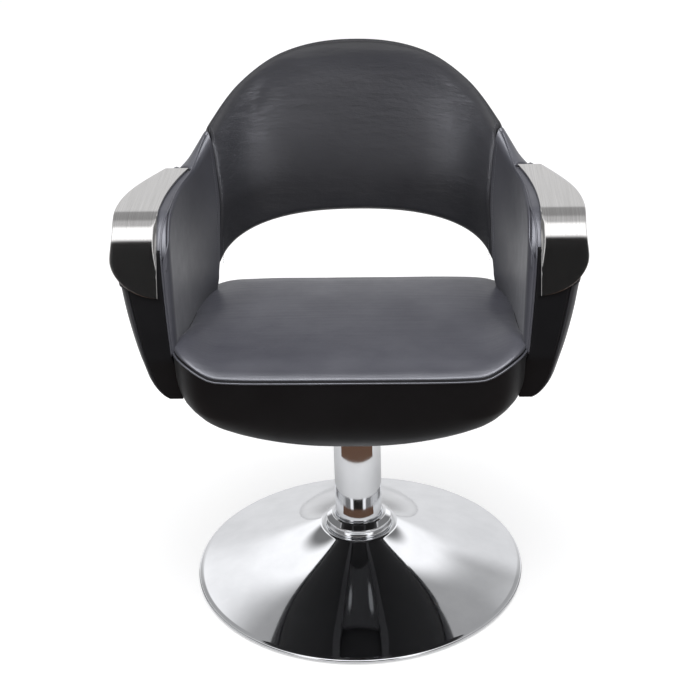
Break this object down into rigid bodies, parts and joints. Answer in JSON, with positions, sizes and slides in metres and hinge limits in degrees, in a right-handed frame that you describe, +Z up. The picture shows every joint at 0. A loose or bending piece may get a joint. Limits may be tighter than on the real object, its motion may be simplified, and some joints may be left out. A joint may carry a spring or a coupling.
{
  "type": "styling chair",
  "caption": "Salon styling chair: padded tub seat with steel-capped arms, open lower back, hydraulic lift column and a round chrome base.",
  "frame": {"origin": "on the floor, on the vertical axis of the column, which is also the middle of the chair's bounding box in plan", "axes": "+Z up along the column; +Y towards the back of the chair, so the sitter faces -Y; +X towards the sitter's left arm"},
  "size_m": [0.7148, 0.565, 0.861],
  "materials": {
    "chrome": "mirror-polished chrome plate",
    "brushed_steel": "fine satin brush along the arm",
    "steel": "bright zinc or turned steel",
    "cast_iron": "black-painted casting",
    "rubber": "matte black rubber",
    "bronze": "oiled bearing bronze",
    "plywood": "unfinished moulded plywood",
    "painted_steel": "semi-gloss black powder coat",
    "vinyl": "semi-gloss black upholstery vinyl with a fine grain"
  },
  "bodies": {
    "base": {"base_dome": "chrome", "floor_ring": "rubber", "ballast_plate": "cast_iron", "pump_flange": "cast_iron", "flange_bolt_1": "steel", "flange_bolt_2": "steel", "flange_bolt_3": "steel", "flange_bolt_4": "steel", "lower_collar": "chrome", "upper_collar": "chrome", "column_tube": "chrome", "pump_cylinder": "steel", "guide_bush": "bronze", "rod_seal": "rubber", "gland_nut": "steel", "plunger_barrel": "steel", "lever_ear_left": "steel", "lever_ear_right": "steel", "lever_pin": "steel"},
    "lift": {"piston": "steel", "piston_ring": "rubber", "piston_rod": "chrome", "thrust_bearing": "bronze"},
    "seat": {"swivel_hub": "painted_steel", "mount_plate": "painted_steel", "plate_bolt_1": "steel", "plate_bolt_2": "steel", "plate_bolt_3": "steel", "plate_bolt_4": "steel", "seat_shell": "vinyl", "seat_board": "plywood", "seat_cushion": "vinyl", "tub_core": "plywood", "back_inner_pad": "vinyl", "back_outer_pad": "vinyl", "rear_band_pad": "vinyl", "rear_band_lining": "vinyl", "arm_inner_pad_left": "vinyl", "shoulder_outer_pad_left": "vinyl", "side_outer_pad_left": "vinyl", "armrest_block_left": "vinyl", "arm_front_pad_left": "vinyl", "armrest_cap_left": "brushed_steel", "cap_stud_front_left": "steel", "cap_stud_rear_left": "steel", "arm_inner_pad_right": "vinyl", "shoulder_outer_pad_right": "vinyl", "side_outer_pad_right": "vinyl", "armrest_block_right": "vinyl", "arm_front_pad_right": "vinyl", "armrest_cap_right": "brushed_steel", "cap_stud_front_right": "steel", "cap_stud_rear_right": "steel"},
    "lever": {"foot_lever": "chrome", "pedal_pad": "rubber"},
    "plunger": {"pump_plunger": "steel", "plunger_spring": "steel"}
  },
  "joints": [
    {"name": "lift_slide", "type": "slide", "parent": "base", "child": "lift", "axis": [0, 0, 1], "range_m": [0, 0.13]},
    {"name": "seat_swivel", "type": "hinge", "parent": "lift", "child": "seat", "pos_m": [0, 0, 0.3], "axis": [0, 0, 1], "continuous": true},
    {"name": "lever_pivot", "type": "hinge", "parent": "base", "child": "lever", "pos_m": [0, 0.062, 0.132], "axis": [-1, 0, 0], "range_deg": [0, 15], "stiffness_Nm_per_rad": 8, "springref_deg": -11.46},
    {"name": "plunger_slide", "type": "slide", "parent": "base", "child": "plunger", "axis": [0, 0, 1], "range_m": [0, 0.0085], "deforming": ["plunger_spring"]}
  ],
  "couplings": [
    {"joint": "plunger_slide", "follows": "lever_pivot", "m_per_rad": 0.031}
  ]
}
